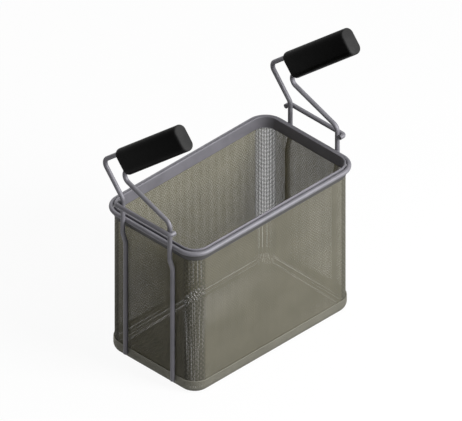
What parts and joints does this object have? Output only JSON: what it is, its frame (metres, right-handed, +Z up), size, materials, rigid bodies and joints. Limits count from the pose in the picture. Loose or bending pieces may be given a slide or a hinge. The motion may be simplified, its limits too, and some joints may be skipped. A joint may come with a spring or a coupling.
{
  "type": "wire mesh basket",
  "caption": "Rectangular fine wire mesh basket with a welded wire rim and an upright wire handle with a flat black grip at each end.",
  "frame": {"origin": "on the ground under the middle of the floor tray", "axes": "+Z up, +X along the long side towards one handle, +Y along the short side towards the backs of the handles; the grips lean towards -Y"},
  "size_m": [0.327, 0.1748, 0.4249],
  "materials": {
    "mesh_steel": "fine woven stainless wire, warm grey",
    "strip_steel": "satin stainless strip",
    "wire_steel": "bright drawn stainless wire",
    "grip_black": "black moulded plastic, satin"
  },
  "bodies": {
    "root": {"wall_mesh": "mesh_steel", "floor_mesh": "mesh_steel", "rim_band": "strip_steel", "rim_ring": "wire_steel", "handle_wire_left": "wire_steel", "handle_wire_right": "wire_steel", "crossbar_left": "wire_steel", "crossbar_right": "wire_steel", "grip_left": "grip_black", "grip_right": "grip_black"}
  },
  "joints": []
}
